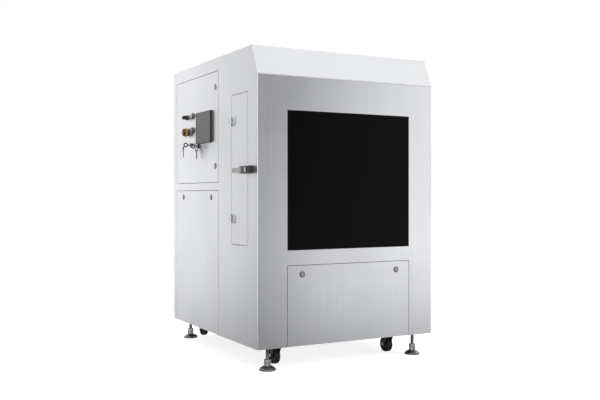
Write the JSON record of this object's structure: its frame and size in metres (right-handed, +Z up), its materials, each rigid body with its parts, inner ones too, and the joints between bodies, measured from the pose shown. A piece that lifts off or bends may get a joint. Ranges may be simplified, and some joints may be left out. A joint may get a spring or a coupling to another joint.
{
  "type": "resin printer",
  "caption": "Floor-standing laser resin printer cabinet: dark front window door, sloped hood, side control door with screen and switches, levelling feet and casters.",
  "frame": {"origin": "on the floor, under the middle of the overall box", "axes": "+Z up, the front faces -Y, the control side faces -X"},
  "size_m": [1.2962, 1.405, 1.885],
  "materials": {
    "satin_steel": "satin, fine vertical grain",
    "dark_pane": "near-black tinted pane, polished",
    "black_plastic": "moulded, fine texture",
    "screen_glass": "switched-off display, satin",
    "red_plastic": "moulded",
    "yellow_plastic": "moulded",
    "lime_plastic": "translucent cap",
    "grey_plastic": "translucent cap",
    "plated_steel": "nickel plated",
    "zinc_steel": "zinc plated",
    "painted_frame": "powder coat",
    "chamber_sheet": "stainless, fine grain",
    "machined_alloy": "machined",
    "black_alloy": "black anodised",
    "foot_steel": "plated, on a rubber sole",
    "wheel_rubber": "moulded",
    "unit_grey": "powder coat"
  },
  "bodies": {
    "cabinet": {"front_fascia": "satin_steel", "hood": "satin_steel", "left_skin": "satin_steel", "right_skin": "satin_steel", "rear_panel": "satin_steel", "base_frame": "painted_frame", "frame_posts": "painted_frame", "door_hinges": "zinc_steel", "deck_plate": "chamber_sheet", "resin_vat": "chamber_sheet", "optics_plate": "machined_alloy", "chamber_walls": "chamber_sheet", "z_column": "machined_alloy", "z_motor": "black_alloy", "linear_rails": "zinc_steel", "scan_head": "black_alloy", "laser_head": "machined_alloy", "control_units": "unit_grey", "caster_plates": "black_alloy"},
    "window_door": {"window_pane": "dark_pane", "window_frame": "black_alloy"},
    "inspection_door": {"inspection_door": "satin_steel", "inspection_leaves": "zinc_steel", "latch_body": "black_plastic"},
    "latch_lever": {"latch_lever": "zinc_steel"},
    "control_door": {"control_door": "satin_steel", "screen_housing": "black_plastic", "screen_glass": "screen_glass", "switch_bezels": "black_plastic", "stop_ring": "yellow_plastic"},
    "stop_button": {"stop_button": "red_plastic"},
    "start_button": {"start_button": "lime_plastic"},
    "reset_button": {"reset_button": "grey_plastic"},
    "selector_knob": {"selector_knob": "black_plastic"},
    "upper_key": {"upper_key": "plated_steel"},
    "lower_key": {"lower_key": "plated_steel"},
    "control_lock_lower": {"control_lock_lower": "plated_steel"},
    "control_lock_upper": {"control_lock_upper": "plated_steel"},
    "side_panel": {"side_panel": "satin_steel"},
    "side_lock_front": {"side_lock_front": "plated_steel"},
    "side_lock_rear": {"side_lock_rear": "plated_steel"},
    "front_panel": {"front_panel": "satin_steel"},
    "front_lock_left": {"front_lock_left": "plated_steel"},
    "front_lock_right": {"front_lock_right": "plated_steel"},
    "lift": {"z_carriage": "machined_alloy", "build_platform": "chamber_sheet"},
    "z_screw": {"z_screw": "zinc_steel"},
    "recoater": {"recoater": "machined_alloy"},
    "foot_front_left": {"foot_front_left": "foot_steel"},
    "foot_front_right": {"foot_front_right": "foot_steel"},
    "foot_rear_left": {"foot_rear_left": "foot_steel"},
    "foot_rear_right": {"foot_rear_right": "foot_steel"},
    "caster_fork_front_left": {"caster_fork_front_left": "black_alloy"},
    "caster_wheel_front_left": {"caster_wheel_front_left": "wheel_rubber"},
    "caster_fork_front_right": {"caster_fork_front_right": "black_alloy"},
    "caster_wheel_front_right": {"caster_wheel_front_right": "wheel_rubber"},
    "caster_fork_rear_left": {"caster_fork_rear_left": "black_alloy"},
    "caster_wheel_rear_left": {"caster_wheel_rear_left": "wheel_rubber"},
    "caster_fork_rear_right": {"caster_fork_rear_right": "black_alloy"},
    "caster_wheel_rear_right": {"caster_wheel_rear_right": "wheel_rubber"}
  },
  "joints": [
    {"name": "window_swing", "type": "hinge", "parent": "cabinet", "child": "window_door", "pos_m": [-0.3735, -0.6855, 0.6985], "axis": [0, 0, -1], "range_deg": [0, 100]},
    {"name": "inspection_swing", "type": "hinge", "parent": "cabinet", "child": "inspection_door", "pos_m": [-0.589, -0.3335, 0.874], "axis": [0, 0, -1], "range_deg": [0, 110]},
    {"name": "latch_pull", "type": "hinge", "parent": "inspection_door", "child": "latch_lever", "pos_m": [-0.598, -0.5155, 1.166], "axis": [0, 0, 1], "range_deg": [0, 70]},
    {"name": "control_swing", "type": "hinge", "parent": "cabinet", "child": "control_door", "pos_m": [-0.571, 0.62, 1.0995], "axis": [0, 0, -1], "range_deg": [0, 100]},
    {"name": "stop_press", "type": "slide", "parent": "control_door", "child": "stop_button", "axis": [1, 0, 0], "range_m": [0, 0.004]},
    {"name": "start_press", "type": "slide", "parent": "control_door", "child": "start_button", "axis": [1, 0, 0], "range_m": [0, 0.004], "stiffness_N_per_m": 600},
    {"name": "reset_press", "type": "slide", "parent": "control_door", "child": "reset_button", "axis": [1, 0, 0], "range_m": [0, 0.004], "stiffness_N_per_m": 600},
    {"name": "selector_turn", "type": "hinge", "parent": "control_door", "child": "selector_knob", "pos_m": [-0.583, 0.4285, 1.55], "axis": [-1, 0, 0], "range_deg": [0, 90]},
    {"name": "upper_key_turn", "type": "hinge", "parent": "control_door", "child": "upper_key", "pos_m": [-0.583, 0.3505, 1.357], "axis": [-1, 0, 0], "range_deg": [0, 90]},
    {"name": "lower_key_turn", "type": "hinge", "parent": "control_door", "child": "lower_key", "pos_m": [-0.583, 0.2105, 1.341], "axis": [-1, 0, 0], "range_deg": [0, 90]},
    {"name": "control_lock_lower_turn", "type": "hinge", "parent": "control_door", "child": "control_lock_lower", "pos_m": [-0.583, -0.0725, 1.203], "axis": [-1, 0, 0], "range_deg": [0, 90]},
    {"name": "control_lock_upper_turn", "type": "hinge", "parent": "control_door", "child": "control_lock_upper", "pos_m": [-0.583, -0.0725, 1.705], "axis": [-1, 0, 0], "range_deg": [0, 90]},
    {"name": "side_panel_lift_off", "type": "slide", "parent": "cabinet", "child": "side_panel", "axis": [-1, 0, 0], "range_m": [0, 0.25]},
    {"name": "side_lock_front_turn", "type": "hinge", "parent": "side_panel", "child": "side_lock_front", "pos_m": [-0.583, -0.0015, 1.003], "axis": [-1, 0, 0], "range_deg": [0, 90]},
    {"name": "side_lock_rear_turn", "type": "hinge", "parent": "side_panel", "child": "side_lock_rear", "pos_m": [-0.583, 0.5055, 1.003], "axis": [-1, 0, 0], "range_deg": [0, 90]},
    {"name": "front_panel_lift_off", "type": "slide", "parent": "cabinet", "child": "front_panel", "axis": [0, -1, 0], "range_m": [0, 0.25]},
    {"name": "front_lock_left_turn", "type": "hinge", "parent": "front_panel", "child": "front_lock_left", "pos_m": [-0.2925, -0.6975, 0.554], "axis": [0, -1, 0], "range_deg": [0, 90]},
    {"name": "front_lock_right_turn", "type": "hinge", "parent": "front_panel", "child": "front_lock_right", "pos_m": [0.3725, -0.6975, 0.554], "axis": [0, -1, 0], "range_deg": [0, 90]},
    {"name": "platform_lift", "type": "slide", "parent": "cabinet", "child": "lift", "axis": [0, 0, 1], "range_m": [-0.44, 0.15]},
    {"name": "screw_turn", "type": "hinge", "parent": "cabinet", "child": "z_screw", "pos_m": [0.032, 0.1105, 0.645], "axis": [0, 0, 1], "range_deg": [-16560, 5760]},
    {"name": "recoater_sweep", "type": "slide", "parent": "cabinet", "child": "recoater", "axis": [0, 1, 0], "range_m": [0, 0.5]},
    {"name": "foot_front_left_level", "type": "slide", "parent": "cabinet", "child": "foot_front_left", "axis": [0, 0, 1], "range_m": [-0.03, 0]},
    {"name": "foot_front_right_level", "type": "slide", "parent": "cabinet", "child": "foot_front_right", "axis": [0, 0, 1], "range_m": [-0.03, 0]},
    {"name": "foot_rear_left_level", "type": "slide", "parent": "cabinet", "child": "foot_rear_left", "axis": [0, 0, 1], "range_m": [-0.03, 0]},
    {"name": "foot_rear_right_level", "type": "slide", "parent": "cabinet", "child": "foot_rear_right", "axis": [0, 0, 1], "range_m": [-0.03, 0]},
    {"name": "caster_front_left_swivel", "type": "hinge", "parent": "cabinet", "child": "caster_fork_front_left", "pos_m": [-0.374, -0.5265, 0.1237], "axis": [0, 0, 1], "continuous": true},
    {"name": "caster_front_left_roll", "type": "hinge", "parent": "caster_fork_front_left", "child": "caster_wheel_front_left", "pos_m": [-0.374, -0.4945, 0.054], "axis": [1, 0, 0], "continuous": true},
    {"name": "caster_front_right_swivel", "type": "hinge", "parent": "cabinet", "child": "caster_fork_front_right", "pos_m": [0.438, -0.5265, 0.1237], "axis": [0, 0, 1], "continuous": true},
    {"name": "caster_front_right_roll", "type": "hinge", "parent": "caster_fork_front_right", "child": "caster_wheel_front_right", "pos_m": [0.438, -0.4945, 0.054], "axis": [1, 0, 0], "continuous": true},
    {"name": "caster_rear_left_swivel", "type": "hinge", "parent": "cabinet", "child": "caster_fork_rear_left", "pos_m": [-0.374, 0.6155, 0.1237], "axis": [0, 0, 1], "continuous": true},
    {"name": "caster_rear_left_roll", "type": "hinge", "parent": "caster_fork_rear_left", "child": "caster_wheel_rear_left", "pos_m": [-0.374, 0.6475, 0.054], "axis": [1, 0, 0], "continuous": true},
    {"name": "caster_rear_right_swivel", "type": "hinge", "parent": "cabinet", "child": "caster_fork_rear_right", "pos_m": [0.438, 0.6155, 0.1237], "axis": [0, 0, 1], "continuous": true},
    {"name": "caster_rear_right_roll", "type": "hinge", "parent": "caster_fork_rear_right", "child": "caster_wheel_rear_right", "pos_m": [0.438, 0.6475, 0.054], "axis": [1, 0, 0], "continuous": true}
  ],
  "couplings": [
    {"joint": "screw_turn", "follows": "platform_lift", "rad_per_m": 628.32}
  ]
}
